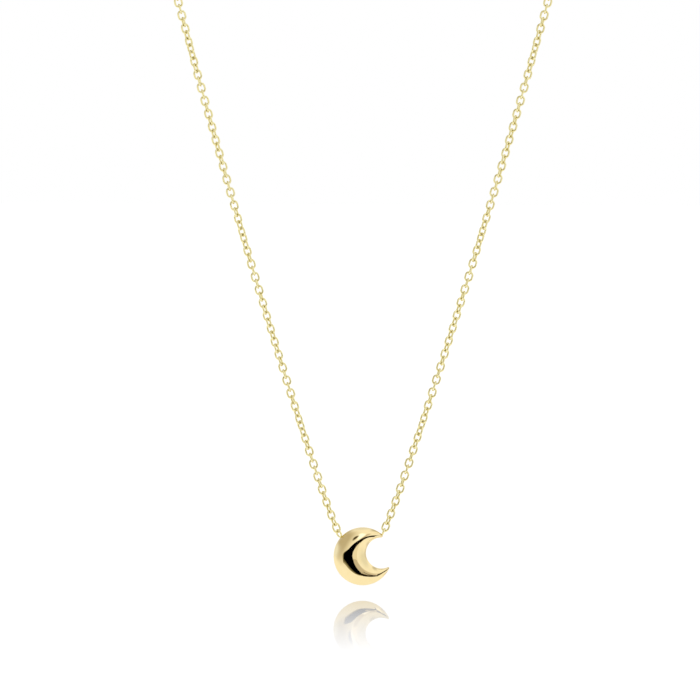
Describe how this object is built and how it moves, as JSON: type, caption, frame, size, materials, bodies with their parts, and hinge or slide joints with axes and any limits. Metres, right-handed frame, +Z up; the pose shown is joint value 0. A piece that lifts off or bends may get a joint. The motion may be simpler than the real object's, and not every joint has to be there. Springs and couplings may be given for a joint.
{
  "type": "pendant necklace",
  "caption": "Polished gold crescent moon on a fine oval-link chain with a spring ring clasp, hung over a slim neck.",
  "frame": {"origin": "midway between the two shoulders, level with the end of the front drape, where the wearer's neck holds the chain", "axes": "+Z up, front of the pendant towards -Y, +X to the right of someone facing the pendant"},
  "size_m": [0.0896, 0.0517, 0.1693],
  "materials": {
    "moon_gold": "mirror polished",
    "loop_gold": "polished",
    "chain_gold": "polished",
    "clasp_gold": "polished",
    "tag_gold": "satin",
    "spring_steel": "drawn wire"
  },
  "bodies": {
    "neck_chain": {"left_shoulder": "chain_gold", "right_shoulder": "chain_gold", "left_neck_1": "chain_gold", "left_neck_2": "chain_gold", "left_neck_3": "chain_gold", "right_neck_1": "chain_gold", "right_neck_2": "chain_gold", "right_neck_3": "chain_gold", "jump_ring": "clasp_gold", "hook_ring": "clasp_gold"},
    "drape_1": {"left_drape_1": "chain_gold", "right_drape_1": "chain_gold"},
    "drape_2": {"left_drape_2": "chain_gold", "right_drape_2": "chain_gold"},
    "drape_3": {"left_drape_3": "chain_gold", "right_drape_3": "chain_gold"},
    "drape_4": {"left_drape_4": "chain_gold", "right_drape_4": "chain_gold"},
    "drape_5": {"left_drape_5": "chain_gold", "right_drape_5": "chain_gold"},
    "drape_6": {"left_drape_6": "chain_gold", "right_drape_6": "chain_gold"},
    "pendant": {"moon": "moon_gold", "left_loop": "loop_gold", "right_loop": "loop_gold"},
    "clasp": {"clasp_tube": "clasp_gold", "clasp_eye": "clasp_gold", "clasp_spring": "spring_steel"},
    "bolt": {"clasp_bolt": "clasp_gold", "clasp_knob": "clasp_gold"},
    "tag_link": {"tag_ring": "clasp_gold"},
    "tag": {"end_tag": "tag_gold"}
  },
  "joints": [
    {"name": "drape_flex_1", "type": "hinge", "parent": "neck_chain", "child": "drape_1", "pos_m": [0.04267, -0.00003, -0.00017], "axis": [1, -0.0001, 0.0026], "range_deg": [-20, 20]},
    {"name": "drape_flex_2", "type": "hinge", "parent": "drape_1", "child": "drape_2", "pos_m": [0.0372, 0, -0.02329], "axis": [1, 0, 0.003], "range_deg": [-20, 20]},
    {"name": "drape_flex_3", "type": "hinge", "parent": "drape_2", "child": "drape_3", "pos_m": [0.03135, 0, -0.04667], "axis": [1, 0, 0.0036], "range_deg": [-20, 20]},
    {"name": "drape_flex_4", "type": "hinge", "parent": "drape_3", "child": "drape_4", "pos_m": [0.02515, 0, -0.06997], "axis": [1, 0, 0.0044], "range_deg": [-20, 20]},
    {"name": "drape_flex_5", "type": "hinge", "parent": "drape_4", "child": "drape_5", "pos_m": [0.01846, 0, -0.09348], "axis": [1, 0, 0.006], "range_deg": [-20, 20]},
    {"name": "drape_flex_6", "type": "hinge", "parent": "drape_5", "child": "drape_6", "pos_m": [0.01143, 0, -0.11653], "axis": [1, 0, 0.0096], "range_deg": [-20, 20]},
    {"name": "pendant_swing", "type": "hinge", "parent": "drape_6", "child": "pendant", "pos_m": [0.00361, 0, -0.13941], "axis": [0.9995, 0, 0.0303], "range_deg": [-40, 40]},
    {"name": "clasp_roll", "type": "hinge", "parent": "neck_chain", "child": "clasp", "pos_m": [0.00249, 0.04836, 0.01898], "axis": [1, 0, 0], "range_deg": [-12, 12]},
    {"name": "bolt_slide", "type": "hinge", "parent": "clasp", "child": "bolt", "pos_m": [-0.00067, 0.04836, 0.01853], "axis": [0, -1, 0], "range_deg": [0, 50], "stiffness_Nm_per_rad": 0.0015, "springref_deg": -20.05, "deforming": ["clasp_spring"]},
    {"name": "tag_swing", "type": "hinge", "parent": "neck_chain", "child": "tag_link", "pos_m": [-0.00337, 0.04974, 0.01935], "axis": [1, 0, 0], "range_deg": [-5, 60]},
    {"name": "tag_sway", "type": "hinge", "parent": "tag_link", "child": "tag", "pos_m": [-0.00337, 0.04974, 0.01851], "axis": [0, 1, 0], "range_deg": [-20, 20]}
  ]
}
